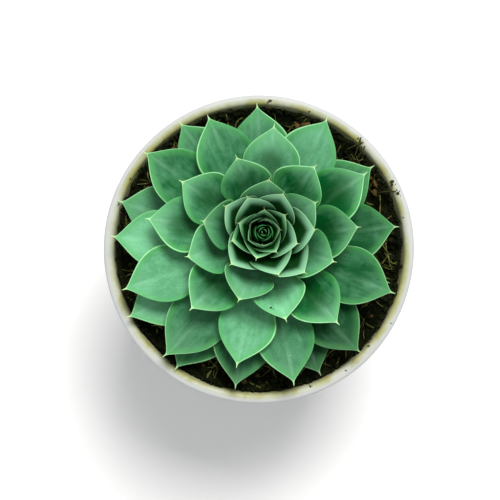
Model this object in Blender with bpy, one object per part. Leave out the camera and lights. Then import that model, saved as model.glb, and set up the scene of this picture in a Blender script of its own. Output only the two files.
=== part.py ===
"""A rosette succulent growing in a small tapered plastic pot.

Lengths are in millimetres until a mesh is made, where MM turns them into metres.
The origin is the middle of the pot's foot, +Z is up, and +Y is the side the rosette leans to.
"""

import bmesh
import bpy
from math import atan2, cos, hypot, pi, radians, sin
from mathutils import Vector, noise

MM = 0.001
ORIGIN = Vector((0.0, 0.0, 0.0))

# Pot
RIM_RADIUS = 60.0
POT_HEIGHT = 105.0
FOOT_RADIUS = 41.0
FOOT_WIDTH = 3.5
FOOT_RECESS = 2.2
FLOOR_TOP = 4.2
WALL = 1.8
COLLAR_HEIGHT = 13.0
COLLAR_STEP = 2.4
RIM_LAND = 3.8
RIM_ROUND = 1.1
POT_SIDES = 64
DRAIN_HOLES = 6
DRAIN_RADIUS = 4.0
DRAIN_CIRCLE = 24.0
DRAIN_START = 17.0

# Soil
SOIL_LEVEL = 95.0
SOIL_BUMP = 1.3
SOIL_SIDES = 40
SOIL_RINGS = 7
GAP = 0.3

# Stem: a buried root crown under a domed crown that carries the leaves
STEM_CENTRE = Vector((0.5, 3.0, 0.0))
STEM_RADIUS = 6.2
STEM_FOOT_Z = 74.0
SHOULDER_Z = 99.0
DOME_HEIGHT = 20.5
STEM_SIDES = 20

# Leaves
LEAF_RING_RADIUS = 7.1
LEAF_RING_RISE = 22.0
LEAF_TURN = 81.0
TIP_ABOVE_RIM = 2.5
TIP_RISE = 29.5
LEAF_WIDTH = 24.0
LEAF_LENGTH = 55.0
LEAF_THICK = 2.9
WIDEST = 0.64
ROWS = (0.0, 0.15, 0.31, 0.47, 0.61, 0.73, 0.83, 0.91, 0.965)
ACROSS = (-1.0, -0.5, 0.0, 0.5, 1.0)

# Each leaf, oldest and lowest first: compass turn of its tip about the stem in degrees,
# counter-clockwise from +X, and how far out the tip reaches in millimetres.
LEAVES = (
    # skirt, half hidden under the others
    (237, 60), (165, 57), (293, 57), (341, 52), (33, 52), (211, 59.5), (125, 54.8), (260, 58),
    (92, 51.8), (5, 52.5),
    # broad outer leaves
    (310.3, 57.6), (180, 57), (231, 58.5), (61, 52.3), (144, 55.3), (282, 57), (336.5, 54.2), (201, 56),
    (114.5, 50.2), (258.5, 50),
    # second tier
    (84, 42.6), (172, 44), (31, 46), (310, 43.8), (226, 39), (147, 37), (53, 33), (5, 36.5),
    # third tier
    (285, 33.5), (197, 30), (109, 31), (338, 29), (250, 27), (169, 23.5), (84, 21), (31, 23.5),
    # upright inner leaves
    (316, 22), (145, 18), (3, 20), (225, 17.5), (63, 17), (289, 17.5), (115, 15), (340, 14),
    # closed bud
    (195, 13), (39, 11), (254, 11), (161, 10.5), (87, 9), (302, 9.5), (8, 6.5), (211, 6.5),
    (147, 5.5), (265, 4.5), (77, 3.5),
)


def material(name, colour, roughness, metallic=0.0):
    found = bpy.data.materials.get(name)
    if found:
        return found
    made = bpy.data.materials.new(name)
    made.use_nodes = True
    shader = made.node_tree.nodes["Principled BSDF"]
    shader.inputs["Base Color"].default_value = (*colour, 1.0)
    shader.inputs["Roughness"].default_value = roughness
    shader.inputs["Metallic"].default_value = metallic
    made.diffuse_color = (*colour, 1.0)
    return made


def add_object(name, verts, faces, finish, smooth_angle=40.0):
    """Make a closed object from points in millimetres."""
    mesh = bpy.data.meshes.new(name)
    mesh.from_pydata([Vector(v) * MM for v in verts], [], faces)
    shell = bmesh.new()
    shell.from_mesh(mesh)
    bmesh.ops.recalc_face_normals(shell, faces=shell.faces)
    shell.to_mesh(mesh)
    shell.free()
    mesh.shade_smooth()
    mesh.set_sharp_from_angle(angle=radians(smooth_angle))
    mesh.materials.append(finish)
    made = bpy.data.objects.new(name, mesh)
    bpy.context.scene.collection.objects.link(made)
    return made


def ring(radius, z, sides, centre=ORIGIN):
    """Points of one level circle; a zero radius is a single point."""
    if radius == 0.0:
        return [centre + Vector((0.0, 0.0, z))]
    points = []
    for side in range(sides):
        turn = 2.0 * pi * side / sides
        points.append(centre + Vector((radius * cos(turn), radius * sin(turn), z)))
    return points


def skin(rings):
    """Points and faces of a surface through the rings, which starts and ends in a single point."""
    verts = []
    faces = []
    for low, high in zip(rings, rings[1:]):
        first = len(verts)
        above = first + len(low)
        sides = max(len(low), len(high))
        for side in range(sides):
            after = (side + 1) % sides
            corners = [first + side % len(low), first + after % len(low)]
            corners += [above + after % len(high), above + side % len(high)]
            faces.append(list(dict.fromkeys(corners)))
        verts += low
    verts += rings[-1]
    return verts, faces


def turned(profile, sides, centre=ORIGIN):
    """A profile of radius and height, from axis to axis, turned about +Z."""
    return skin([ring(radius, z, sides, centre) for radius, z in profile])


def arc(centre_r, centre_z, radius, start, end, steps):
    """Points of a round corner in the turned profile, angles in degrees."""
    points = []
    for step in range(steps + 1):
        turn = radians(start + (end - start) * step / steps)
        points.append((centre_r + radius * cos(turn), centre_z + radius * sin(turn)))
    return points


def wall_radius(z):
    """Outer radius of the tapered wall below the collar."""
    under_collar = POT_HEIGHT - COLLAR_HEIGHT
    top_radius = RIM_RADIUS - COLLAR_STEP - 0.8
    return FOOT_RADIUS + (top_radius - FOOT_RADIUS) * z / under_collar


def inner_radius(z):
    """Inner radius of the pot, which widens into the rim."""
    collar_foot = POT_HEIGHT - COLLAR_HEIGHT
    if z <= collar_foot:
        return wall_radius(z) - WALL
    share = (z - collar_foot) / COLLAR_HEIGHT
    low = wall_radius(collar_foot) - WALL
    return low + (RIM_RADIUS - RIM_LAND - low) * share


def make_pot():
    finish = material("white_plastic", (0.80, 0.82, 0.76), 0.45)
    collar_foot = POT_HEIGHT - COLLAR_HEIGHT
    inner_lip = RIM_RADIUS - RIM_LAND + RIM_ROUND
    profile = [(0.0, FOOT_RECESS), (FOOT_RADIUS - FOOT_WIDTH - 0.6, FOOT_RECESS)]
    profile += [(FOOT_RADIUS - FOOT_WIDTH, 0.0), (FOOT_RADIUS - 0.6, 0.0)]
    profile += [(wall_radius(0.9), 0.9), (wall_radius(collar_foot - 1.0), collar_foot - 1.0)]
    profile += [(RIM_RADIUS - 1.2, collar_foot), (RIM_RADIUS - 0.8, collar_foot + 0.8)]
    profile += arc(RIM_RADIUS - RIM_ROUND, POT_HEIGHT - RIM_ROUND, RIM_ROUND, 0, 90, 3)
    profile += arc(inner_lip, POT_HEIGHT - RIM_ROUND, RIM_ROUND, 90, 180, 3)
    profile += [(inner_radius(collar_foot), collar_foot)]
    profile += [(inner_radius(FLOOR_TOP + 1.5), FLOOR_TOP + 1.5)]
    profile += [(inner_radius(FLOOR_TOP) - 1.5, FLOOR_TOP), (0.0, FLOOR_TOP)]
    verts, faces = turned(profile, POT_SIDES)
    pot = add_object("pot", verts, faces, finish)
    for hole in range(DRAIN_HOLES):
        turn = radians(DRAIN_START + 360.0 * hole / DRAIN_HOLES)
        middle = Vector((DRAIN_CIRCLE * cos(turn), DRAIN_CIRCLE * sin(turn), 0.0))
        drill_profile = [(0.0, -2.0), (DRAIN_RADIUS, -2.0), (DRAIN_RADIUS, 8.0), (0.0, 8.0)]
        verts, faces = turned(drill_profile, 16, middle)
        drill = add_object(f"drain_drill_{hole + 1}", verts, faces, finish)
        drill.hide_render = True
        drill.display_type = "WIRE"
        cut = pot.modifiers.new(f"drain_{hole + 1}", "BOOLEAN")
        cut.operation = "DIFFERENCE"
        cut.solver = "EXACT"
        cut.object = drill
    return pot


def crumble(point):
    """The point on the soil's surface, raised or lowered as loose potting mix lies."""
    coarse = noise.noise(point * 0.09 + Vector((3.1, 7.7, 0.0)))
    fine = noise.noise(point * 0.31 + Vector((11.3, 2.9, 5.0)))
    return point + Vector((0.0, 0.0, SOIL_BUMP * (coarse + 0.6 * fine)))


def make_soil():
    finish = material("potting_soil", (0.045, 0.035, 0.015), 0.95)
    floor = FLOOR_TOP + GAP
    shoulder = POT_HEIGHT - COLLAR_HEIGHT
    profile = [(0.0, floor), (inner_radius(floor) - 1.5 - GAP, floor)]
    profile += [(inner_radius(floor + 1.5) - GAP, floor + 1.5)]
    profile += [(inner_radius(shoulder) - GAP, shoulder - 1.0)]
    rings = [ring(radius, z, SOIL_SIDES) for radius, z in profile]
    socket = STEM_RADIUS + GAP + 0.2
    edge = ring(inner_radius(SOIL_LEVEL) - GAP, SOIL_LEVEL, SOIL_SIDES)
    mouth = ring(socket, SOIL_LEVEL, SOIL_SIDES, STEM_CENTRE)
    for step in range(SOIL_RINGS + 1):
        share = step / SOIL_RINGS
        rings.append([crumble(out.lerp(near, share)) for out, near in zip(edge, mouth)])
    rings.append(ring(socket, STEM_FOOT_Z - GAP, SOIL_SIDES, STEM_CENTRE))
    rings.append(ring(0.0, STEM_FOOT_Z - GAP, SOIL_SIDES, STEM_CENTRE))
    verts, faces = skin(rings)
    return add_object("soil", verts, faces, finish, 60.0)


def make_stem():
    finish = material("woody_stem", (0.16, 0.17, 0.06), 0.8)
    profile = [(0.0, STEM_FOOT_Z), (3.2, STEM_FOOT_Z + 0.8), (5.0, STEM_FOOT_Z + 5.0)]
    profile += [(STEM_RADIUS - 0.2, STEM_FOOT_Z + 12.0)]
    steps = 8
    for step in range(steps):
        climb = 0.5 * pi * step / steps
        profile.append((STEM_RADIUS * cos(climb), SHOULDER_Z + DOME_HEIGHT * sin(climb)))
    profile.append((0.0, SHOULDER_Z + DOME_HEIGHT))
    verts, faces = turned(profile, STEM_SIDES, STEM_CENTRE)
    return add_object("stem", verts, faces, finish)


def make_growing_tip():
    """The unopened point in the middle of the bud."""
    finish = material("young_leaf", (0.10, 0.30, 0.13), 0.55)
    foot = SHOULDER_Z + DOME_HEIGHT + GAP
    profile = [(0.0, foot), (0.6, foot + 0.2), (0.75, foot + 3.5), (1.0, foot + 8.0)]
    profile += [(0.6, foot + 10.5), (0.0, foot + 12.0)]
    verts, faces = turned(profile, 8, STEM_CENTRE)
    return add_object("growing_tip", verts, faces, finish)


def leaf_width(along, base_half, half):
    """Half width along the leaf: a narrow foot, broad shoulders, then a drawn-out point."""
    if along < WIDEST:
        share = along / WIDEST
        ease = share * share * (3.0 - 2.0 * share)
        return base_half + (half - base_half) * (0.45 * share + 0.55 * ease)
    share = (along - WIDEST) / (1.0 - WIDEST)
    return half * cos(0.5 * pi * share) ** (0.8 + 0.6 * share)


def make_leaf(order, turn_degrees, reach):
    age = order / (len(LEAVES) - 1)
    turn = radians(turn_degrees)
    climb = radians(0.7 + LEAF_TURN * age)
    base_z = SHOULDER_Z + 0.3 + LEAF_RING_RISE * sin(climb)
    tip_z = POT_HEIGHT + TIP_ABOVE_RIM + TIP_RISE * (1.0 - (1.0 - age) ** 1.5)
    base_r = LEAF_RING_RADIUS * cos(climb)
    length = hypot(reach - base_r, tip_z - base_z)
    slope = atan2(tip_z - base_z, reach - base_r)
    foot_thick = 0.6 + 0.9 * (1.0 - age)
    base_r += 0.4 * foot_thick * sin(slope)

    half = 0.5 * LEAF_WIDTH * (1.0 - 0.38 * age ** 2 - 0.31 * age ** 8)
    base_half = 0.38 * base_r + 0.4
    thick = LEAF_THICK * (length / LEAF_LENGTH) ** 0.8
    cup_radius = 30.0 * (1.0 - age) ** 1.2 + 6.5
    bow = (0.05 + 0.13 * age) * length
    bend_r = 0.5 * (base_r + reach) + 2.0 * bow * sin(slope)
    bend_z = 0.5 * (base_z + tip_z) - 2.0 * bow * cos(slope)

    outward = Vector((cos(turn), sin(turn), 0.0))
    sideways = Vector((-sin(turn), cos(turn), 0.0))
    up = Vector((0.0, 0.0, 1.0))
    verts = []
    for along in ROWS:
        keep = 1.0 - along
        place_r = keep * keep * base_r + 2.0 * keep * along * bend_r + along * along * reach
        place_z = keep * keep * base_z + 2.0 * keep * along * bend_z + along * along * tip_z
        step_r = keep * (bend_r - base_r) + along * (reach - bend_r)
        step_z = keep * (bend_z - base_z) + along * (tip_z - bend_z)
        step = hypot(step_r, step_z)
        face_up = (outward * -step_z + up * step_r) / step
        spine = STEM_CENTRE + outward * place_r + up * place_z
        width = leaf_width(along, base_half, half)
        swell = foot_thick + (thick - foot_thick) * sin(pi * min(along, 0.95) / 0.95)
        fade = min(1.0, (1.0 - along) / 0.2)
        depth = swell * (0.35 + 0.65 * fade)
        upper = []
        lower = []
        for across in ACROSS:
            bend = across * width / cup_radius
            rim = cup_radius * (1.0 - cos(bend))
            side = sideways * (cup_radius * sin(bend))
            full = depth * (1.0 - abs(across) ** 2.5)
            upper.append(spine + side + face_up * (rim + 0.35 * full))
            lower.append(spine + side + face_up * (rim - 0.65 * full))
        verts += upper + lower[-2:0:-1]
    verts.append(STEM_CENTRE + outward * reach + up * tip_z)

    around = 2 * len(ACROSS) - 2
    faces = [list(range(around))]
    for row in range(len(ROWS) - 1):
        for side in range(around):
            after = (side + 1) % around
            low = row * around
            high = low + around
            faces.append([low + side, low + after, high + after, high + side])
    last = (len(ROWS) - 1) * around
    for side in range(around):
        faces.append([last + side, last + (side + 1) % around, len(verts) - 1])
    finish = material(f"leaf_green_{order + 1:02d}", leaf_colour(age), 0.6)
    return add_object(f"leaf_{order + 1:02d}", verts, faces, finish, 50.0)


def leaf_colour(age):
    """Old leaves are a dull blue green, young ones a deeper green."""
    old = (0.13, 0.31, 0.19)
    young = (0.09, 0.27, 0.12)
    return tuple(low + (high - low) * age for low, high in zip(old, young))


def make_bark_chip():
    """A flake of bark lying on the soil near the wall."""
    finish = material("bark", (0.30, 0.11, 0.03), 0.9)
    outline = ((-5.0, -1.4), (-2.0, -2.2), (3.2, -1.8), (5.2, -0.2), (3.0, 1.7), (-1.5, 2.0), (-4.6, 1.0))
    turn = radians(68.0)
    middle = Vector((47.0 * cos(turn), 47.0 * sin(turn), SOIL_LEVEL + 2.6))
    lean = radians(60.0)
    verts = []
    for height in (-0.7, 0.7):
        for along, across in outline:
            flat = Vector((along * cos(lean) - across * sin(lean), along * sin(lean) + across * cos(lean)))
            verts.append(middle + Vector((flat.x, flat.y, height + 0.05 * along)))
    count = len(outline)
    faces = [list(range(count)), list(range(count, 2 * count))]
    for side in range(count):
        after = (side + 1) % count
        faces.append([side, after, after + count, side + count])
    return add_object("bark_chip", verts, faces, finish)


def main():
    for old in list(bpy.data.objects):
        bpy.data.objects.remove(old)
    make_pot()
    make_soil()
    make_stem()
    for order, (turn_degrees, reach) in enumerate(LEAVES):
        make_leaf(order, turn_degrees, reach)
    make_growing_tip()
    make_bark_chip()


main()
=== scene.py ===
import math
import random

import bpy
import bmesh
import numpy as np
from mathutils import Matrix, Vector, noise
from mathutils.bvhtree import BVHTree


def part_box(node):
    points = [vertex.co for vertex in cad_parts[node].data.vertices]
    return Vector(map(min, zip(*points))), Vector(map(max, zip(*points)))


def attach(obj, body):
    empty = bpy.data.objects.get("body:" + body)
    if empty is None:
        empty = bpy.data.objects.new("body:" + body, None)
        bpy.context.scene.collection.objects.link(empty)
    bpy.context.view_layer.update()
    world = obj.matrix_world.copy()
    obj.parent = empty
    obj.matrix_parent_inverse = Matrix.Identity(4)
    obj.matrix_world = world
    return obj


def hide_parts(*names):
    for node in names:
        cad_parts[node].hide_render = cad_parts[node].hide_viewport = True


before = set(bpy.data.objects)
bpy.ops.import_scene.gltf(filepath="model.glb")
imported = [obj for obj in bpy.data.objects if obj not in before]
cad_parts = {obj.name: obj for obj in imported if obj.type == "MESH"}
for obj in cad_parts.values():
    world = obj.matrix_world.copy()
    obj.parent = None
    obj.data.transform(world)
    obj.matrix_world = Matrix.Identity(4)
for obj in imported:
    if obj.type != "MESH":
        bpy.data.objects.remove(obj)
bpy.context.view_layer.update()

scene = bpy.context.scene
scene.view_settings.view_transform = "Standard"
mm = 0.001
print("frame loaded:", len(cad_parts), "nodes")


# ---- small helpers for meshes
def nodePoints(nodeName):
    # the corners of a node, each one once
    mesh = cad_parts[nodeName].data
    found = np.empty(len(mesh.vertices) * 3)
    mesh.vertices.foreach_get("co", found)
    return np.unique(np.round(found.reshape(-1, 3), 6), axis=0)


def addPiece(name, points, faces, material, nodes=(), values=None):
    mesh = bpy.data.meshes.new(name)
    mesh.from_pydata([tuple(p) for p in points], [], faces)
    mesh.validate()
    mesh.shade_smooth()
    for key, numbers in (values or {}).items():
        layer = mesh.attributes.new(key, "FLOAT", "POINT")
        layer.data.foreach_set("value", np.asarray(numbers, dtype=np.float32))
    mesh.materials.append(material)
    piece = bpy.data.objects.new(name, mesh)
    scene.collection.objects.link(piece)
    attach(piece, "root")
    if nodes:
        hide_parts(*nodes)
    return piece


def smoothStep(low, high, value):
    share = np.clip((value - low) / (high - low), 0.0, 1.0)
    return share * share * (3.0 - 2.0 * share)


def onCircle(radius, turn):
    return radius * math.cos(turn), radius * math.sin(turn)


def sleeveFaces(rows, around):
    # the skin of a closed tube of stacked rings, with a cap at each end
    faces = [list(range(around))[::-1], [(rows - 1) * around + side for side in range(around)]]
    for row in range(rows - 1):
        for side in range(around):
            a, b = row * around + side, row * around + (side + 1) % around
            faces.append([a, b, b + around, a + around])
    return faces


# ---- small helpers for shader nodes
def addNode(tree, kind, **settings):
    node = tree.nodes.new(kind)
    for key, value in settings.items():
        if key.startswith("in_"):
            node.inputs[key[3:].replace("_", " ")].default_value = value
        else:
            setattr(node, key, value)
    return node


def mathNode(tree, operation, first, second, clamp=False):
    node = addNode(tree, "ShaderNodeMath", operation=operation, use_clamp=clamp)
    for socket, value in zip(node.inputs, (first, second)):
        if isinstance(value, (int, float)):
            socket.default_value = value
        else:
            tree.links.new(value, socket)
    return node.outputs[0]


def scaled(tree, value, amount):
    return mathNode(tree, "MULTIPLY", value, amount)


def mixColour(tree, factor, first, second, blend="MIX"):
    node = addNode(tree, "ShaderNodeMix", data_type="RGBA", blend_type=blend)
    for socket, value in ((node.inputs[0], factor), (node.inputs[6], first), (node.inputs[7], second)):
        if isinstance(value, (int, float)):
            socket.default_value = value
        elif isinstance(value, tuple):
            socket.default_value = (*value, 1.0)
        else:
            tree.links.new(value, socket)
    return node.outputs[2]


def rampMask(tree, value, low, high):
    # 0 below low, 1 above high, smooth between; low may be the larger one
    node = addNode(tree, "ShaderNodeMapRange", interpolation_type="SMOOTHSTEP", clamp=True)
    tree.links.new(value, node.inputs[0])
    node.inputs[1].default_value = low
    node.inputs[2].default_value = high
    return node.outputs[0]


def noiseValue(tree, vector, scale, detail=3.0, roughness=0.55, distortion=0.0):
    node = addNode(tree, "ShaderNodeTexNoise")
    tree.links.new(vector, node.inputs["Vector"])
    node.inputs["Detail"].default_value = detail
    node.inputs["Roughness"].default_value = roughness
    node.inputs["Distortion"].default_value = distortion
    if isinstance(scale, (int, float)):
        node.inputs["Scale"].default_value = scale
    else:
        tree.links.new(scale, node.inputs["Scale"])
    return node.outputs[0]


def attributeValue(tree, name):
    return addNode(tree, "ShaderNodeAttribute", attribute_name=name).outputs["Fac"]


def startGroup(name, inputs, outputs):
    # every group is given a place; its other inputs are values or, where the default is a tuple, colours
    kinds = {float: "NodeSocketFloat", tuple: "NodeSocketColor"}
    group = bpy.data.node_groups.new(name, "ShaderNodeTree")
    group.interface.new_socket("Vector", in_out="INPUT", socket_type="NodeSocketVector")
    for label, value in inputs.items():
        socket = group.interface.new_socket(label, in_out="INPUT", socket_type=kinds[type(value)])
        socket.default_value = value
    for label in outputs:
        kind = kinds[tuple if label == "Color" else float]
        group.interface.new_socket(label, in_out="OUTPUT", socket_type=kind)
    return group, group.nodes.new("NodeGroupInput").outputs, group.nodes.new("NodeGroupOutput").inputs


def placeGroup(tree, group, **values):
    node = addNode(tree, "ShaderNodeGroup", node_tree=group)
    for key, value in values.items():
        socket = node.inputs[key]
        if isinstance(value, (int, float)):
            socket.default_value = value
        elif isinstance(value, tuple):
            socket.default_value = (*value, 1.0)
        else:
            tree.links.new(value, socket)
    return node.outputs


def startMaterial(name, **settings):
    material = bpy.data.materials.new(name)
    material.use_nodes = True
    tree = material.node_tree
    shader = tree.nodes["Principled BSDF"]
    for key, value in settings.items():
        shader.inputs[key.replace("_", " ")].default_value = value
    where = addNode(tree, "ShaderNodeTexCoord").outputs["Object"]
    return material, tree, shader, where


def addBump(tree, shader, height, strength, distance):
    bump = addNode(tree, "ShaderNodeBump", in_Strength=strength, in_Distance=distance)
    tree.links.new(height, bump.inputs["Height"])
    tree.links.new(bump.outputs[0], shader.inputs["Normal"])


# ---- shared effects, one node group each
def makeMottleGroup():
    # waxy bloom rubbed thin in places: cloudy patches with fine freckles in them
    group, given, out = startGroup(
        "waxMottle", {"Patch": 180.0, "Freckle": 1500.0}, ("Cloud", "Freckles", "Height"))
    cloud = noiseValue(group, given["Vector"], given["Patch"], 4.0, 0.6, 0.4)
    freckle = noiseValue(group, given["Vector"], given["Freckle"], 2.0, 0.5)
    group.links.new(rampMask(group, cloud, 0.33, 0.67), out["Cloud"])
    group.links.new(rampMask(group, freckle, 0.52, 0.7), out["Freckles"])
    unevenness = mathNode(group, "ADD", scaled(group, cloud, 0.7), scaled(group, freckle, 0.3))
    group.links.new(unevenness, out["Height"])
    return group


def makeGrimeGroup():
    # dirt that gathers by height: most at Low, gone at High, broken up by noise
    group, given, out = startGroup("potGrime", {"Low": 0.0, "High": 1.0, "Break": 0.5}, ("Mask", "Specks"))
    height = addNode(group, "ShaderNodeSeparateXYZ")
    group.links.new(given["Vector"], height.inputs[0])
    blot = noiseValue(group, given["Vector"], 90.0, 5.0, 0.65, 0.6)
    fine = noiseValue(group, given["Vector"], 900.0, 3.0, 0.6)
    span = mathNode(group, "SUBTRACT", given["High"], given["Low"])
    below = mathNode(group, "SUBTRACT", given["High"], height.outputs[2])
    level = mathNode(group, "DIVIDE", below, span, clamp=True)
    broken = scaled(group, mathNode(group, "SUBTRACT", blot, 0.5), given["Break"])
    group.links.new(mathNode(group, "ADD", level, broken, clamp=True), out["Mask"])
    group.links.new(rampMask(group, fine, 0.66, 0.74), out["Specks"])
    return group


def makeGrainGroup():
    # crumbly grain for soil, bark and the woody stem
    group, given, out = startGroup(
        "crumbGrain", {"Scale": 400.0, "Dark": (0.0, 0.0, 0.0, 1.0), "Light": (1.0, 1.0, 1.0, 1.0)},
        ("Color", "Height"))
    coarse = noiseValue(group, given["Vector"], given["Scale"], 6.0, 0.7, 0.3)
    wide = noiseValue(group, given["Vector"], 60.0, 3.0, 0.5)
    lightness = mathNode(group, "ADD", wide, 0.35)
    blend = mathNode(group, "MULTIPLY", rampMask(group, coarse, 0.38, 0.72), lightness, clamp=True)
    group.links.new(mixColour(group, blend, given["Dark"], given["Light"]), out["Color"])
    group.links.new(coarse, out["Height"])
    return group


mottleGroup = makeMottleGroup()
grimeGroup = makeGrimeGroup()
grainGroup = makeGrainGroup()
print("shader groups made")


# ---- leaves
leafLook = {
    "deep": (0.000, 0.072, 0.015),       # saturated green where the bloom is rubbed off
    "bloom": (0.132, 0.388, 0.207),      # pale blue green wax
    # hollowShade is painted shade: near black green down between the leaves and at their feet
    "hollowShade": (0.003, 0.035, 0.004),     # near black green down between the leaves
    "nearEdge": (0.050, 0.270, 0.060),   # yellower green inside the margin
    "budGreen": (0.022, 0.210, 0.030),   # the unopened middle
    "margin": (0.300, 0.620, 0.310),     # pale line along the margin
    "spine": (0.420, 0.660, 0.300),      # the thorn at the tip
    # tipLight near the tips is partly painted light and partly their paler colour; it also tints the midline
    "tipLight": (0.290, 0.600, 0.380),   # paler towards the tip
    # shares of each effect
    "clouds": 0.20, "streaks": 0.6, "freckles": 0.22, "vein": 0.18, "edgeTint": 0.6, "hollowDark": 0.92,
}
leafTiers = {
    # last: youngest leaf of the tier; hollowShade: where along the leaf the painted shade at its foot starts
    # and is full;
    # tipGlow: share of tipLight, partly painted light on the tip; lip: where the painted light band along
    # the margin
    # starts to fade and ends, in millimetres; inside: how dark the painted shade is within the band; lit,
    # litColour:
    # the painted light the band catches; gloss: least roughness; back, backShade: colour of the underside
    # and where along it the painted shade starts and is full; line: how strong the pale margin is
    "leaf_outer": {
        "last": 20, "hollowShade": (0.42, 0.06), "tipGlow": 0.10, "lip": (6.0, 14.0), "inside": 0.0,
        "lit": 0.0, "litColour": (0.430, 0.740, 0.520),
        "gloss": 0.44, "back": (0.100, 0.270, 0.150), "backShade": (0.12, 0.0), "line": 0.75,
    },
    "leaf_middle": {
        "last": 36, "hollowShade": (0.58, 0.16), "tipGlow": 0.25, "lip": (3.0, 9.5), "inside": 0.62,
        "lit": 0.0, "litColour": (0.430, 0.740, 0.520),
        "gloss": 0.38, "back": (0.100, 0.270, 0.150), "backShade": (0.35, 0.05), "line": 0.75,
    },
    "leaf_inner": {
        "last": 44, "hollowShade": (0.82, 0.52), "tipGlow": 0.60, "lip": (0.9, 3.9), "inside": 0.98,
        "lit": 0.22, "litColour": (0.430, 0.740, 0.520),
        "gloss": 0.30, "back": (0.120, 0.330, 0.160), "backShade": (0.75, 0.35), "line": 0.70,
    },
    "leaf_bud": {
        "last": 55, "hollowShade": (0.94, 0.72), "tipGlow": 0.25, "lip": (0.6, 2.2), "inside": 1.0,
        "lit": 0.50, "litColour": (0.250, 0.650, 0.300),
        "gloss": 0.28, "back": (0.170, 0.480, 0.190), "backShade": (0.82, 0.52), "line": 0.30,
    },
}


def makeLeafMaterial(slot, tier):
    material, tree, shader, where = startMaterial(
        slot + "Skin", Roughness=0.5, IOR=1.4, Specular_IOR_Level=0.14, Subsurface_Weight=0.05,
        Subsurface_Scale=0.002)
    shader.inputs["Subsurface Radius"].default_value = (0.5, 1.0, 0.35)
    wax = placeGroup(tree, mottleGroup, Vector=where, Patch=150.0, Freckle=1500.0)
    tone, along, edgeGap, tipGap, upper, midline = (
        attributeValue(tree, name) for name in ("tone", "along", "edgeGap", "tipGap", "upper", "midline"))
    leafSpace = addNode(tree, "ShaderNodeCombineXYZ")
    for socket, name in zip(leafSpace.inputs, ("across", "down", "leafNumber")):
        tree.links.new(attributeValue(tree, name), socket)
    streak = noiseValue(tree, leafSpace.outputs[0], 0.55, 4.0, 0.6, 0.5)
    cloud = scaled(tree, mathNode(tree, "SUBTRACT", wax["Cloud"], 0.5), leafLook["clouds"])
    streaks = scaled(tree, mathNode(tree, "SUBTRACT", streak, 0.5), leafLook["streaks"])
    amount = mathNode(tree, "ADD", mathNode(tree, "ADD", tone, cloud), streaks, clamp=True)
    colour = mixColour(tree, amount, leafLook["deep"], leafLook["bloom"])
    colour = mixColour(tree, scaled(tree, wax["Freckles"], leafLook["freckles"]), colour, leafLook["deep"])
    colour = mixColour(tree, scaled(tree, midline, leafLook["vein"]), colour, leafLook["tipLight"])
    inside = scaled(tree, rampMask(tree, edgeGap, 3.6, 0.4), leafLook["edgeTint"])
    colour = mixColour(tree, inside, colour, leafLook["nearEdge"])
    # partly painted light: the tip is painted paler where it catches the light, partly its own paler colour
    glow = scaled(tree, rampMask(tree, along, 0.62, 0.98), tier["tipGlow"])
    plain = mixColour(tree, glow, colour, leafLook["tipLight"])
    # painted light and shade on the upper face: the band along the margin is painted lit towards the tip,
    # the face beyond it is painted dark, and the foot is painted dark
    within = rampMask(tree, edgeGap, *tier["lip"])
    shade = scaled(tree, rampMask(tree, along, *tier["hollowShade"]), leafLook["hollowDark"])
    depth = scaled(tree, within, tier["inside"])
    litLip = scaled(tree, mathNode(tree, "SUBTRACT", 1.0, within), rampMask(tree, along, 0.45, 0.8))
    face = mixColour(tree, scaled(tree, litLip, tier["lit"]), plain, tier["litColour"])
    face = mixColour(tree, mathNode(tree, "MAXIMUM", shade, depth), face, leafLook["hollowShade"])
    # painted shade: the underside is painted darker towards its foot
    back = mixColour(tree, 0.7, plain, tier["back"])
    backDark = scaled(tree, rampMask(tree, along, *tier["backShade"]), leafLook["hollowDark"])
    back = mixColour(tree, backDark, back, leafLook["hollowShade"])
    colour = mixColour(tree, upper, back, face)
    ragged = scaled(tree, wax["Cloud"], 0.12)
    line = rampMask(tree, mathNode(tree, "ADD", edgeGap, ragged), 0.52, 0.12)
    line = scaled(tree, line, rampMask(tree, along, 0.1, 0.4))
    colour = mixColour(tree, scaled(tree, line, tier["line"]), colour, leafLook["margin"])
    colour = mixColour(tree, rampMask(tree, tipGap, 2.6, 1.0), colour, leafLook["spine"])
    # dim multiplies in each leaf's paleness, with its painted shadow, painted shade and painted light
    colour = mixColour(tree, 1.0, colour, attributeValue(tree, "dim"), "MULTIPLY")
    tree.links.new(colour, shader.inputs["Base Color"])
    rough = mathNode(tree, "ADD", scaled(tree, wax["Cloud"], 0.14), tier["gloss"])
    tree.links.new(rough, shader.inputs["Roughness"])
    addBump(tree, shader, wax["Height"], 0.25, 0.0003)
    return material


leafMaterials = {slot: makeLeafMaterial(slot, tier) for slot, tier in leafTiers.items()}

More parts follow.
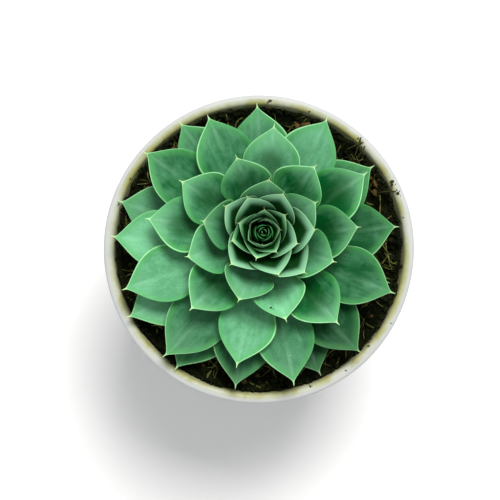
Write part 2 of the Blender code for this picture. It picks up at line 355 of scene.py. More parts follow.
leafShape = {
    "width": 24.0, "widest": 0.64, "thickness": 2.9, "lengthForThickness": 55.0,
    "spineLength": 0.9, "spineRadius": 0.26, "rows": 46, "around": 40,
    "channel": 0.45, "wave": 0.22, "seed": 11,
    "rowBunching": 1.3,                   # rows lie closer together near the tip
    "handle": 0.36,                       # reach of the centre line's handles, as a share of the length
    "footWidth": (0.38, 0.4), "footThickness": (0.6, 0.9),
    "youngNarrowing": 0.38, "budNarrowing": 0.31, "cup": (30.0, 6.5),
    # each leaf's own irregularity, at most: bend to one side, roll, unequal halves, hooked tip
    "sideBend": 0.03, "roll": 0.10, "lean": 0.06, "hook": 0.6, "waveTurns": (1.2, 2.2),
    # outer leaves dish upwards, inner ones flare at the tip, and the bud leaves close over it
    "bendAges": (0.0, 0.36, 0.52, 0.62, 0.70, 0.80, 0.86, 0.91, 0.95, 1.0),
    "leaveBend": (-11.0, -13.0, -14.0, -6.0, 0.0, 7.0, 9.0, 6.0, -8.0, -20.0),
    "arriveBend": (11.0, 12.0, 6.0, -8.0, -20.0, -34.0, -38.0, -30.0, 6.0, 36.0),
    "foldOuter": 0.03, "foldInner": 0.24,
    # how pale the leaves are, from the oldest, at 0, to the youngest, at 1; the darkening of the youngest is
    # painted shade down in the middle of the rosette
    "paleAges": (0.0, 0.15, 0.36, 0.50, 0.56, 0.62, 0.72, 0.82, 0.91, 1.0),
    "pale": (1.06, 1.22, 1.36, 1.45, 1.25, 1.04, 0.98, 0.92, 0.78, 0.50),
    # painted light: young leaves on this side, whose faces turn towards the key light, are painted paler by
    # up to sunShare
    "sunSide": 265.0, "sunShare": 0.40,  # young leaves on this side are paler
}
# how much bloom each leaf has, oldest first; the youngest have otherTone
leafTones = [
    0.15, 0.60, 0.00, 0.05, 0.20, 1.00, 0.30, 0.21, 0.42, 0.06,
    0.00, 1.00, 0.30, 0.62, 0.16, 0.36, 0.14, 0.65, 0.30, 0.60,
    0.62, 0.35, 0.04, 0.10, 0.22, 0.26, 0.09, 0.05, 0.75, 0.50,
    0.15, 0.36, 0.57, 0.35, 0.50, 0.70, 0.65, 0.45, 0.75, 0.55,
    0.60, 0.90, 0.50, 0.75, 0.90, 0.75, 0.70, 0.70, 0.60, 0.60,
]
# painted shadow: leaves that lie in their neighbours' shadow are darkened by these shares
leafShadowDims = {3: 0.50, 4: 0.60, 8: 0.65, 10: 0.80, 11: 0.55, 13: 0.85, 16: 0.85, 17: 0.82, 28: 0.78}
otherTone = 0.4
stemLow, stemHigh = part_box("stem")
stemCentre = np.array([(stemLow[0] + stemHigh[0]) / 2, (stemLow[1] + stemHigh[1]) / 2, 0.0])
leafCount = sum(1 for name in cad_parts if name.startswith("leaf_"))


def leafEnds(number):
    # foot and tip of a leaf, read from its solid
    points = nodePoints(f"leaf_{number:02d}")
    fromStem = np.hypot(points[:, 0] - stemCentre[0], points[:, 1] - stemCentre[1])
    anchor = points[np.argmin(fromStem)]
    nearest = np.argsort(np.linalg.norm(points - anchor, axis=1))[:8]
    foot = points[nearest].mean(axis=0)
    tip = points[np.argmax(np.linalg.norm(points - foot, axis=1))]
    return foot, tip


def halfWidths(along, foot, half, shape):
    low = along / shape["widest"]
    ease = low * low * (3.0 - 2.0 * low)
    rising = foot + (half - foot) * (0.45 * low + 0.55 * ease)
    high = np.clip((along - shape["widest"]) / (1.0 - shape["widest"]), 0.0, 1.0)
    left = 1.0 - high
    falling = half * np.cos(0.5 * np.pi * high) ** (0.88 - 0.4 * left) * (1.0 - np.exp(-left / 0.20))
    return np.where(along < shape["widest"], rising, falling)


def leafBends(age):
    # how much steeper than its chord a leaf leaves the stem and ends, in radians
    leave = np.interp(age, leafShape["bendAges"], leafShape["leaveBend"])
    arrive = np.interp(age, leafShape["bendAges"], leafShape["arriveBend"])
    return math.radians(leave), math.radians(arrive)


def leafGrid(number):
    # every figure here is in millimetres until the points are returned
    shape = leafShape
    dice = random.Random(shape["seed"] * 1000 + number)
    age = (number - 1) / (leafCount - 1)
    foot, tip = leafEnds(number)
    foot = (foot - stemCentre) / mm
    tip = (tip - stemCentre) / mm
    turn = math.atan2(tip[1], tip[0])
    outward = np.array([math.cos(turn), math.sin(turn), 0.0])
    sideways = np.array([-math.sin(turn), math.cos(turn), 0.0])
    up = np.array([0.0, 0.0, 1.0])
    startR, startZ = float(foot @ outward), foot[2]
    endR, endZ = float(tip @ outward), tip[2]
    length = math.hypot(endR - startR, endZ - startZ)
    slope = math.atan2(endZ - startZ, endR - startR)

    leave, arrive = leafBends(age)
    reach = shape["handle"] * length
    leaveR, leaveZ = startR + reach * math.cos(slope + leave), startZ + reach * math.sin(slope + leave)
    arriveR, arriveZ = endR - reach * math.cos(slope + arrive), endZ - reach * math.sin(slope + arrive)
    step = np.linspace(0.0, 1.0, shape["rows"])
    along = 1.0 - (1.0 - step) ** shape["rowBunching"]
    keep = 1.0 - along
    weights = (keep ** 3, 3 * keep ** 2 * along, 3 * keep * along ** 2, along ** 3)
    placeR = sum(w * r for w, r in zip(weights, (startR, leaveR, arriveR, endR)))
    placeZ = sum(w * z for w, z in zip(weights, (startZ, leaveZ, arriveZ, endZ)))
    stepR = np.gradient(placeR, along)
    stepZ = np.gradient(placeZ, along)
    size = np.hypot(stepR, stepZ)
    stepR, stepZ = stepR / size, stepZ / size

    narrowing = shape["youngNarrowing"] * age ** 2 + shape["budNarrowing"] * age ** 8
    half = 0.5 * shape["width"] * (1.0 - narrowing)
    footHalf = shape["footWidth"][0] * startR + shape["footWidth"][1]
    bladeEnd = 1.0 - shape["spineLength"] / length
    blade = np.clip(along / bladeEnd, 0.0, 1.0)
    width = halfWidths(blade, footHalf, half, shape)
    spineAt = np.clip((1.0 - along) * length / (shape["spineLength"] * 1.6), 0.0, 1.0)
    spine = shape["spineRadius"] * (0.35 + 0.65 * (1.0 - age)) * spineAt ** 0.8 + 0.03
    width = np.maximum(width, spine)
    footThick = shape["footThickness"][0] + shape["footThickness"][1] * (1.0 - age)
    thick = shape["thickness"] * (length / shape["lengthForThickness"]) ** 0.8
    swell = footThick + (thick - footThick) * np.sin(np.pi * np.clip(along, 0.0, 0.95) / 0.95)
    swell = swell * (0.35 + 0.65 * np.clip((1.0 - along) / 0.2, 0.0, 1.0))
    swell = np.maximum(np.minimum(swell, 3.2 * width), 2.0 * spine)
    cup = shape["cup"][0] * (1.0 - age) ** 1.2 + shape["cup"][1]

    sideBend = dice.uniform(-shape["sideBend"], shape["sideBend"]) * length
    roll = dice.uniform(-shape["roll"], shape["roll"])
    wavePhase = dice.uniform(0.0, 6.28)
    waveTurns = dice.uniform(*shape["waveTurns"])
    lean = dice.uniform(-shape["lean"], shape["lean"])
    hook = dice.uniform(-shape["hook"], shape["hook"])

    turns = np.linspace(0.0, 2.0 * np.pi, shape["around"], endpoint=False)
    across = np.cos(turns)
    over = np.sin(turns)
    y = across[None, :] * width[:, None] * (1.0 + lean * np.sign(across)[None, :])
    curl = cup * (1.0 - 0.25 * smoothStep(0.75, 1.0, along))[:, None]
    rise = curl * (1.0 - np.cos(y / curl))
    side = curl * np.sin(y / curl)
    roundness = np.sign(over) * np.abs(over) ** 0.85
    body = np.where(over > 0, 0.35, 0.65)[None, :] * swell[:, None] * roundness
    channel = shape["channel"] * np.exp(-(y / (0.22 * half)) ** 2)
    channel = channel * np.sin(np.pi * np.clip(along, 0, 1))[:, None] * (over > 0)
    wave = shape["wave"] * np.abs(across[None, :]) ** 3
    ripple = np.sin(wavePhase + waveTurns * 6.28 * along[:, None] + across[None, :])
    wave = wave * ripple * (width / half)[:, None]
    hookIn = hook * smoothStep(bladeEnd - 0.06, 1.02, along)[:, None]
    fold = shape["foldOuter"] + (shape["foldInner"] - shape["foldOuter"]) * age
    crease = (fold * smoothStep(0.3, 0.85, along))[:, None] * (np.sqrt(y ** 2 + 0.16) - 0.4)
    lift = rise + body - channel + wave + crease
    tilt = roll * (along * (1.0 - along) * 4.0)[:, None]
    side, lift = side * np.cos(tilt) - lift * np.sin(tilt), side * np.sin(tilt) + lift * np.cos(tilt)
    side = side + (sideBend * along ** 2 * (1.0 - along) * 4.0)[:, None] + hookIn
    faceUp = -outward[None, :] * stepZ[:, None] + up[None, :] * stepR[:, None]
    centre = outward[None, :] * placeR[:, None] + up[None, :] * placeZ[:, None]
    points = centre[:, None, :] + sideways[None, None, :] * side[:, :, None]
    points = points + faceUp[:, None, :] * lift[:, :, None]

    # each leaf's paleness: painted shadow from leafShadowDims, a share by age whose drop for the youngest is
    # painted shade, and painted light on the sunSide
    pale = leafShadowDims.get(number, 1.0) * np.interp(age, shape["paleAges"], shape["pale"])
    pale *= 1.0 + shape["sunShare"] * age ** 3 * math.cos(turn - math.radians(shape["sunSide"]))
    flat = np.stack([np.broadcast_to((along * length)[:, None], y.shape), y], axis=-1)
    leftEdge = np.stack([along * length, width], -1)
    rightEdge = np.stack([along * length, -width], -1)
    outline = np.concatenate([leftEdge, rightEdge])
    gaps = np.linalg.norm(flat[:, :, None, :] - outline[None, None, :, :], axis=-1).min(axis=-1)
    values = {
        "along": along[:, None],
        "edgeGap": gaps,
        "tipGap": ((1.0 - along) * length)[:, None],
        "upper": smoothStep(-0.25, 0.05, over)[None, :],
        "midline": np.exp(-(y / 0.5) ** 2) * smoothStep(0.5, 0.9, along)[:, None],
        "across": y,
        "down": (along * length * 0.22)[:, None],
        "leafNumber": 7.3 * number,
        "dim": pale,
        "tone": leafTones[number - 1] if number <= len(leafTones) else otherTone,
    }
    flatValues = {key: np.broadcast_to(numbers, y.shape).reshape(-1) for key, numbers in values.items()}
    return points * mm + stemCentre, flatValues


def buildLeaf(number):
    points, values = leafGrid(number)
    faces = sleeveFaces(*points.shape[:2])
    slot = next(s for s, tier in leafTiers.items() if number <= tier["last"])
    name = f"leaf_{number:02d}"
    addPiece(f"{name}_blade", points.reshape(-1, 3), faces, leafMaterials[slot], (name,), values)


for leafNumber in range(1, leafCount + 1):
    buildLeaf(leafNumber)
print("leaves built:", leafCount)


# ---- pot
potShape = {
    # corners of the turned outline in millimetres, from the middle of the floor's underside round to
    # the middle of its upper side: radius, height, rounding
    "outline": [
        (0.0, 2.2, 0.0), (36.7, 2.2, 0.7), (37.5, 0.0, 0.7), (41.0, 0.0, 0.9), (56.8, 92.0, 0.5),
        (59.2, 92.0, 0.8), (60.0, 105.0, 1.3), (56.2, 105.0, 2.0), (55.0, 92.0, 2.5), (39.9, 4.2, 2.2),
        (0.0, 4.2, 0.0),
    ],
    "height": 105.0, "sides": 192, "stretch": 2.2, "wobble": 0.16, "crestRadius": 57.4, "sharpAngle": 40.0,
    # where the stained parts of the rim and the wall start and are full: heights or distances from the axis
    "wallHeights": (104.9, 103.6), "landReach": (58.8, 57.7), "landHeights": (102.5, 104.5),
    "lipReach": (57.9, 56.6), "lipHeights": (101.0, 103.5),
    "drainHoles": 6, "drainRadius": 4.0, "drainCircle": 24.0, "drainStart": 17.0,
}
potLook = {
    "plastic": (0.490, 0.510, 0.500), "cream": (0.410, 0.425, 0.250), "stain": (0.300, 0.300, 0.120),
    # wallTop and wallLow: the inner wall's cream and olive stain, painted lighter than the plastic as
    # painted light on the shaded wall
    "wallTop": (0.740, 0.750, 0.500), "wallLow": (0.640, 0.610, 0.260), "deepStain": (0.160, 0.150, 0.040),
    "dust": (0.330, 0.310, 0.230), "oliveStain": (0.330, 0.320, 0.070), "speck": (0.020, 0.022, 0.008),
    # shares of each effect
    "runs": 0.16, "footDust": 0.42, "creams": 0.9, "olive": 0.75, "spots": 0.7, "fewSpecks": 0.10,
}


def roundedOutline(corners, stretch):
    # straight runs cut into short lengths, with a small arc at each corner
    path = [corners[0][:2]]
    for before, here, after in zip(corners, corners[1:], corners[2:]):
        corner = Vector(here[:2])
        back, on = (Vector(before[:2]) - corner), (Vector(after[:2]) - corner)
        half = back.angle(on) / 2.0
        cut = min(here[2] / math.tan(half), 0.45 * back.length, 0.45 * on.length)
        first, last = corner + back.normalized() * cut, corner + on.normalized() * cut
        run = (first - Vector(path[-1])).length
        pieces = max(1, round(run / stretch))
        start = Vector(path[-1])
        path += [tuple(start.lerp(first, (k + 1) / pieces)) for k in range(pieces)]
        for k in range(1, 6):
            t = k / 5
            path.append(tuple(first.lerp(corner, t).lerp(corner.lerp(last, t), t)))
    start, last = Vector(path[-1]), Vector(corners[-1][:2])
    pieces = max(1, round((last - start).length / stretch))
    path += [tuple(start.lerp(last, (k + 1) / pieces)) for k in range(pieces)]
    return path


def turnProfile(path, sides, wobble, tall):
    # closed turned body, a little out of round towards the rim; the path starts and ends on the axis
    points, ringIndex, rings = [], [], len(path) - 2
    for k, (radius, height) in enumerate(path[1:-1]):
        for side in range(sides):
            turn = 2.0 * math.pi * side / sides
            drift = wobble * (height / tall) * math.sin(2.0 * turn + 0.7) if radius > 30 else 0.0
            drift += 0.5 * wobble * (height / tall) * math.sin(5.0 * turn) if radius > 50 else 0.0
            points.append((*onCircle(radius + drift, turn), height))
            ringIndex.append(k)
    low, high = len(points), len(points) + 1
    points += [(0.0, 0.0, path[0][1]), (0.0, 0.0, path[-1][1])]
    ringIndex += [0, rings]
    faces = sleeveFaces(rings, sides)[2:]    # without the caps
    last = (rings - 1) * sides
    faces += [[low, (side + 1) % sides, side] for side in range(sides)]
    faces += [[high, last + side, last + (side + 1) % sides] for side in range(sides)]
    return points, faces, ringIndex


def makePotMaterial():
    material, tree, shader, where = startMaterial(
        "potPlastic", Roughness=0.42, IOR=1.46, Specular_IOR_Level=0.4)
    inside = attributeValue(tree, "inside")
    land = attributeValue(tree, "land")
    grime = placeGroup(tree, grimeGroup, Vector=where, Low=0.0955, High=0.107, Break=1.1)
    foot = placeGroup(tree, grimeGroup, Vector=where, Low=-0.004, High=0.032, Break=0.9)
    streak = addNode(tree, "ShaderNodeMapping")
    streak.inputs["Scale"].default_value = (1.0, 1.0, 0.12)
    tree.links.new(where, streak.inputs["Vector"])
    runs = noiseValue(tree, streak.outputs[0], 170.0, 4.0, 0.6)
    run = scaled(tree, rampMask(tree, runs, 0.52, 0.78), potLook["runs"])
    colour = mixColour(tree, run, potLook["plastic"], potLook["dust"])
    colour = mixColour(tree, scaled(tree, foot["Mask"], potLook["footDust"]), colour, potLook["dust"])
    # the inner wall's stain, painted lighter than the plastic as painted light, darker olive lower down,
    # with deepStain dirt near the soil
    deep = rampMask(tree, grime["Mask"], 0.30, 0.80)
    wall = mixColour(tree, deep, potLook["wallTop"], potLook["wallLow"])
    wall = mixColour(tree, rampMask(tree, grime["Mask"], 0.85, 1.05), wall, potLook["deepStain"])
    colour = mixColour(tree, inside, colour, wall)
    blot = noiseValue(tree, where, 95.0, 5.0, 0.6, 0.5)
    blotted = mathNode(tree, "ADD", rampMask(tree, blot, 0.25, 0.75), 0.3)
    ringStain = mathNode(tree, "MULTIPLY", land, blotted, clamp=True)
    creams = mixColour(tree, rampMask(tree, blot, 0.40, 0.85), potLook["cream"], potLook["stain"])
    colour = mixColour(tree, scaled(tree, ringStain, potLook["creams"]), colour, creams)
    olive = scaled(tree, attributeValue(tree, "lipStain"), rampMask(tree, blot, 0.36, 0.66))
    colour = mixColour(tree, scaled(tree, olive, potLook["olive"]), colour, potLook["oliveStain"])
    spots = scaled(tree, mathNode(tree, "ADD", inside, land, clamp=True), grime["Specks"])
    colour = mixColour(tree, scaled(tree, spots, potLook["spots"]), colour, potLook["stain"])
    colour = mixColour(tree, scaled(tree, foot["Specks"], potLook["fewSpecks"]), colour, potLook["speck"])
    tree.links.new(colour, shader.inputs["Base Color"])
    tree.links.new(mathNode(tree, "ADD", 0.34, scaled(tree, blot, 0.28)), shader.inputs["Roughness"])
    unevenness = mathNode(tree, "ADD", scaled(tree, runs, 0.6), scaled(tree, blot, 0.4))
    addBump(tree, shader, unevenness, 0.12, 0.0003)
    return material


def cutDrains(pot, shape):
    for k in range(shape["drainHoles"]):
        turn = math.radians(shape["drainStart"] + 360.0 * k / shape["drainHoles"])
        form = bmesh.new()
        place = Vector((*onCircle(shape["drainCircle"] * mm, turn), 0.003))
        radius = shape["drainRadius"] * mm
        bmesh.ops.create_cone(form, cap_ends=True, segments=32, radius1=radius, radius2=radius, depth=0.02,
                              matrix=Matrix.Translation(place))
        mesh = bpy.data.meshes.new("drill")
        form.to_mesh(mesh)
        form.free()
        drill = bpy.data.objects.new("drill", mesh)
        scene.collection.objects.link(drill)
        cut = pot.modifiers.new("drain", "BOOLEAN")
        cut.object = drill
        cut.solver = "EXACT"
        ready = bpy.data.meshes.new_from_object(pot.evaluated_get(bpy.context.evaluated_depsgraph_get()))
        pot.modifiers.remove(cut)
        pot.data = ready
        bpy.data.objects.remove(drill)


def buildPot(shape):
    path = roundedOutline(shape["outline"], shape["stretch"])
    points, faces, ringIndex = turnProfile(path, shape["sides"], shape["wobble"], shape["height"])
    numbers = np.array(points)
    radius = np.hypot(numbers[:, 0], numbers[:, 1])
    # the highest ring, and of several as high the one nearest the middle of the rim
    crestScores = [high - 0.001 * abs(reach - shape["crestRadius"]) for reach, high in path]
    inward = np.array(ringIndex) > crestScores.index(max(crestScores)) - 1
    height = numbers[:, 2]
    lip = smoothStep(*shape["lipReach"], radius) * smoothStep(*shape["lipHeights"], height)
    values = {
        "inside": inward * smoothStep(*shape["wallHeights"], height),
        "land": smoothStep(*shape["landReach"], radius) * smoothStep(*shape["landHeights"], height),
        "lipStain": lip * inward,
    }
    pot = addPiece("pot_shell", numbers * mm, faces, makePotMaterial(), ("pot",), values=values)
    cutDrains(pot, shape)
    pot.data.set_sharp_from_angle(angle=math.radians(shape["sharpAngle"]))


buildPot(potShape)
print("pot turned")


# ---- soil
soilShape = {
    "level": 95.0, "bottom": 5.0, "footReach": 39.6, "rings": 70, "sides": 200, "roughness": 1.6, "seed": 5,
    # heaped against the wall: how high, from where, over what width, and not above the highest
    "bank": 8.6, "bankStart": 47.0, "bankWidth": 8.0, "highest": 103.0,
    # loose bits: how many, and their least and greatest distance from the middle
    "crumbs": 1500, "crumbReach": (12.0, 53.2),
    "edgeCrumbs": 620, "edgeReach": (53.3, 55.3), "edgeHighest": 104.2,
    "fibres": 560, "fibreReach": (30.0, 52.5), "fibreLimit": 54.2,
    "fibreLength": (3.0, 13.0), "fibreLift": (0.2, 1.6), "fibreRadius": (0.14, 0.44),
    "chips": 110, "chipReach": (30.0, 52.0), "chipSize": (0.5, 1.5),
    # larger bits of bark: direction in degrees, distance from the middle and size in millimetres
    "bigChips": [
        (69.5, 52.6, 2.3), (72.5, 51.2, 2.0), (66.5, 51.6, 1.5), (131.7, 51.5, 2.0), (128.0, 52.6, 1.4),
        (29.3, 52.9, 1.7), (33.0, 52.4, 1.2),
    ],
    # dirt that lies on the rim: direction, distance from the middle and size, each with bits around it
    "rimCrumbs": [
        (85.8, 57.6, 0.75), (26.6, 57.6, 0.9), (25.4, 57.0, 0.6), (21.5, 57.8, 0.85), (46.6, 57.0, 0.7),
        (48.0, 57.6, 0.5), (12.0, 57.0, 0.35), (305.0, 57.6, 0.4), (140.0, 57.2, 0.45), (330.0, 58.4, 0.3),
        (152.0, 56.6, 0.4), (163.0, 56.8, 0.5), (290.0, 56.6, 0.5), (318.0, 56.5, 0.45), (70.0, 56.6, 0.4),
    ],
    # fibres that hang over the rim: direction at the foot, direction at the end, reach
    "rimFibres": [(44.0, 47.5, 58.6), (48.5, 45.5, 57.8), (42.5, 44.0, 57.2), (25.0, 22.5, 57.4)],
    "rimFibreFoot": 51.5, "rimFibreRadius": 0.38,
    # grains on the leaves: leaf, place, size and darkness
    "leafGrains": [
        ("leaf_29", 3.4, -24.0, 0.55, 1.0), ("leaf_29", 4.3, -24.5, 0.3, 0.9),
        ("leaf_16", 11.1, -41.4, 0.4, 0.0),
    ],
}
soilLook = {"dark": (0.0015, 0.0035, 0.0004), "light": (0.018, 0.021, 0.004)}
# the loose bits' colours, the grain's scale, their roughness and how far the grain stands out, in metres
bitLooks = {
    "soilCrumb": {
        "dark": (0.002, 0.005, 0.0006), "light": (0.070, 0.068, 0.018),
        "scale": 900.0, "roughness": 0.95, "bump": 0.0004,
    },
    "soilFibre": {
        "dark": (0.060, 0.075, 0.014), "light": (0.420, 0.390, 0.130),
        "scale": 1200.0, "roughness": 0.8, "bump": 0.0002,
    },
    "barkCrumb": {
        "dark": (0.070, 0.045, 0.014), "light": (0.230, 0.125, 0.036),
        "scale": 700.0, "roughness": 0.85, "bump": 0.0003,
    },
    "rimDirt": {
        "dark": (0.020, 0.024, 0.005), "light": (0.160, 0.150, 0.060),
        "scale": 900.0, "roughness": 0.95, "bump": 0.0003,
    },
    "looseGrain": {
        "dark": (0.020, 0.024, 0.005), "light": (0.780, 0.820, 0.700),
        "scale": 900.0, "roughness": 0.9, "bump": 0.0002,
    },
}


def soilHeight(x, y):
    # millimetres in and out: lumps of several sizes over the level bed
    spot = Vector((x * 0.11, y * 0.11, 3.0))
    wide, middling, fine = noise.noise(spot), noise.noise(spot * 3.1), noise.noise(spot * 8.0)
    lump = wide * 1.1 + middling * 1.0 + fine * 0.55
    bank = min(max((math.hypot(x, y) - soilShape["bankStart"]) / soilShape["bankWidth"], 0.0), 1.0)
    unevenness = 0.85 + 0.7 * noise.noise(spot * 1.3 + Vector((9.0, 0.0, 0.0)))
    heap = soilShape["bank"] * bank ** 1.5 * unevenness
    height = soilShape["level"] + soilShape["roughness"] * lump + heap
    ceiling = soilShape["highest"] + 0.9 * fine + 0.8 * middling + 0.3 * lump
    return min(height, ceiling)


def makeGrainMaterial(name, dark, light, scale, roughness, bump, tinted=False):
    material, tree, shader, where = startMaterial(name, Roughness=roughness, Specular_IOR_Level=0.1)
    grain = placeGroup(tree, grainGroup, Vector=where, Scale=scale, Dark=dark, Light=light)
    colour = grain["Color"]
    if tinted:
        colour = mixColour(tree, attributeValue(tree, "tint"), colour, dark)
    tree.links.new(colour, shader.inputs["Base Color"])
    addBump(tree, shader, grain["Height"], 0.8, bump)
    return material


def buildSoil(shape):
    soilLow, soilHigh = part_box("soil")
    reach = (soilHigh[0] - soilLow[0]) / 2.0 / mm
    points = [(0.0, 0.0, soilHeight(0.0, 0.0))]
    for ring in range(1, shape["rings"] + 1):
        radius = reach * (ring / shape["rings"]) ** 0.8
        for side in range(shape["sides"]):
            turn = 2.0 * math.pi * (side + 0.5 * (ring % 2)) / shape["sides"]
            x, y = onCircle(radius, turn)
            points.append((x, y, soilHeight(x, y)))
    sides, rings = shape["sides"], shape["rings"]
    faces = [[0, 1 + side, 1 + (side + 1) % sides] for side in range(sides)]
    for ring in range(rings - 1):
        base = 1 + ring * sides
        for side in range(sides):
            a, b = base + side, base + (side + 1) % sides
            faces.append([a, a + sides, b + sides, b])
    edge = 1 + (rings - 1) * sides
    lowStart = len(points)
    for side in range(sides):
        turn = 2.0 * math.pi * (side + 0.5 * (rings % 2)) / sides
        points.append((*onCircle(shape["footReach"], turn), shape["bottom"]))
    for side in range(sides):
        a, b = side, (side + 1) % sides
        faces.append([edge + a, lowStart + a, lowStart + b, edge + b])
    points.append((0.0, 0.0, shape["bottom"]))
    faces += [[len(points) - 1, lowStart + (side + 1) % sides, lowStart + side] for side in range(sides)]
    bed = makeGrainMaterial("soilBed", soilLook["dark"], soilLook["light"], 700.0, 0.95, 0.0006)
    addPiece("soil_bed", np.array(points) * mm, faces, bed, ("soil",))


def scatterSpot(dice, inner, outer):
    turn = dice.uniform(0.0, 2.0 * math.pi)
    return onCircle(math.sqrt(dice.uniform(inner ** 2, outer ** 2)), turn)


def lumpParts(centre, size, dice, flatten, spin):
    # one irregular crumb: a small ball of 42 corners pulled about
    form = bmesh.new()
    bmesh.ops.create_icosphere(form, subdivisions=2, radius=1.0)
    shift = Vector([dice.uniform(-50, 50) for _ in range(3)])
    stretch = Vector((dice.uniform(0.7, 1.3), dice.uniform(0.7, 1.2), flatten * dice.uniform(0.6, 1.0)))
    turned = Matrix.Rotation(spin, 3, "Z") @ Matrix.Rotation(dice.uniform(-0.5, 0.5), 3, "X")
    points = []
    for vert in form.verts:
        swell = 1.0 + 0.45 * noise.noise(vert.co * 1.4 + shift)
        spot = turned @ Vector([a * b * swell * size for a, b in zip(vert.co, stretch)])
        points.append(tuple(Vector(centre) + spot))
    faces = [[v.index for v in face.verts] for face in form.faces]
    form.free()
    return points, faces


def tubeParts(path, radius, sides=5):
    points = []
    path = [Vector(p) for p in path]
    for k, spot in enumerate(path):
        ahead = (path[min(k + 1, len(path) - 1)] - path[max(k - 1, 0)]).normalized()
        first = ahead.orthogonal().normalized()
        second = ahead.cross(first)
        thin = radius * (0.45 + 0.55 * math.sin(math.pi * (k + 0.5) / len(path)))
        for side in range(sides):
            turn = 2.0 * math.pi * side / sides
            points.append(tuple(spot + (first * math.cos(turn) + second * math.sin(turn)) * thin))
    return points, sleeveFaces(len(path), sides)


def joinParts(parts):
    points, faces = [], []
    for morePoints, moreFaces, *_ in parts:
        start = len(points)
        points += morePoints
        faces += [[start + index for index in face] for face in moreFaces]
    return np.array(points) * mm, faces


def addLooseBits(name, parts, skin):
    # one piece from many small parts; each has its points, its faces and how dark it is
    points, faces = joinParts(parts)
    tints = [tint for morePoints, _, tint in parts for _ in morePoints]
    look = bitLooks[skin]
    material = makeGrainMaterial(
        skin, look["dark"], look["light"], look["scale"], look["roughness"], look["bump"], True)
    addPiece(name, points, faces, material, values={"tint": tints})


def strewCrumbs(shape):
    dice = random.Random(shape["seed"])
    parts = []
    for _ in range(shape["crumbs"]):
        x, y = scatterSpot(dice, *shape["crumbReach"])
        size = 0.35 + 1.25 * dice.random() ** 2.5
        spot = (x, y, soilHeight(x, y) + 0.2 * size)
        parts.append((*lumpParts(spot, size, dice, 0.85, dice.uniform(0, 6.28)), dice.random() ** 0.7))
    for _ in range(shape["edgeCrumbs"]):
        x, y = scatterSpot(dice, *shape["edgeReach"])
        size = 0.3 + 0.8 * dice.random() ** 2
        height = min(soilHeight(x, y) + dice.uniform(0.0, 1.3), shape["edgeHighest"])
        bit = lumpParts((x, y, height), size, dice, 0.8, dice.uniform(0, 6.28))
        parts.append((*bit, 0.5 + 0.5 * dice.random()))
    addLooseBits("soil_crumbs", parts, "soilCrumb")


def strewFibres(shape):
    dice = random.Random(shape["seed"] + 1)
    parts = []
    for _ in range(shape["fibres"]):
        x, y = scatterSpot(dice, *shape["fibreReach"])
        turn, bend = dice.uniform(0.0, 6.28), dice.uniform(-0.35, 0.35)
        length = dice.uniform(*shape["fibreLength"])
        lift = dice.uniform(*shape["fibreLift"])
        path = []
        for k in range(9):
            x += length / 9 * math.cos(turn)
            y += length / 9 * math.sin(turn)
            turn += bend * 0.5 + dice.uniform(-0.12, 0.12)
            if math.hypot(x, y) > shape["fibreLimit"]:
                break
            path.append((x, y, soilHeight(x, y) + 0.4 + lift * math.sin(math.pi * k / 8)))
        if len(path) < 4:
            continue
        parts.append((*tubeParts(path, dice.uniform(*shape["fibreRadius"])), dice.random()))
    addLooseBits("soil_fibres", parts, "soilFibre")


def strewChips(shape):
    dice = random.Random(shape["seed"] + 2)
    parts = []
    for _ in range(shape["chips"]):
        x, y = scatterSpot(dice, *shape["chipReach"])
        size = dice.uniform(*shape["chipSize"])
        spot = (x, y, soilHeight(x, y) + 0.5)
        parts.append((*lumpParts(spot, size, dice, 0.35, dice.uniform(0, 6.28)), dice.random() ** 0.5))
    for azimuth, radius, size in shape["bigChips"]:
        turn = math.radians(azimuth)
        x, y = onCircle(radius, turn)
        spot = (x, y, soilHeight(x, y) + 0.3 * size)
        parts.append((*lumpParts(spot, size, dice, 0.4, turn + 1.2), dice.uniform(0.1, 0.45)))
    addLooseBits("soil_chips", parts, "barkCrumb")


def strewRim(shape):
    # crumbs and fibres that have fallen on the rim
    dice = random.Random(shape["seed"] + 3)
    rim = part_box("pot")[1][2] / mm
    parts = []
    for azimuth, radius, size in shape["rimCrumbs"]:
        turn = math.radians(azimuth)
        for near in range(5):
            spread = size * (0.0 if near == 0 else 1.7)
            x, y = (place + dice.uniform(-spread, spread) for place in onCircle(radius, turn))
            bit = size * (0.8 if near == 0 else dice.uniform(0.15, 0.4))
            lump = lumpParts((x, y, rim + 0.1 * bit), bit, dice, 0.45, turn)
            parts.append((*lump, dice.uniform(0.3, 0.9)))
    for start, end, reach in shape["rimFibres"]:
        path = []
        for k in range(9):
            t = k / 8
            radius = shape["rimFibreFoot"] + (reach - shape["rimFibreFoot"]) * t
            turn = math.radians(start + (end - start) * t)
            x, y = onCircle(radius, turn)
            arch = 2.4 * math.sin(math.pi * min(t + 0.15, 1.0) * 0.55)
            path.append((x, y, max(soilHeight(x, y), rim - 2.0) + arch))
        parts.append((*tubeParts(path, shape["rimFibreRadius"]), 0.75))
    addLooseBits("rim_dirt", parts, "rimDirt")


def placeLeafGrains(shape):
    # a few grains dropped on the leaves, each laid on the surface under it
    dice = random.Random(shape["seed"] + 4)
    parts = []
    for leaf, x, y, size, dark in shape["leafGrains"]:
        mesh = bpy.data.objects[leaf + "_blade"].data
        corners = [vert.co for vert in mesh.vertices]
        surface = BVHTree.FromPolygons(corners, [tuple(face.vertices) for face in mesh.polygons])
        spot = surface.ray_cast(Vector((x * mm, y * mm, 0.2)), Vector((0.0, 0.0, -1.0)))[0]
        if spot is None:
            print("no leaf under the grain at", x, y)
            continue
        parts.append((*lumpParts(tuple(spot / mm), size, dice, 0.6, x), dark))
    addLooseBits("leaf_grains", parts, "looseGrain")


buildSoil(soilShape)
strewCrumbs(soilShape)
strewFibres(soilShape)
strewChips(soilShape)
strewRim(soilShape)
placeLeafGrains(soilShape)
print("soil laid, with its loose bits")


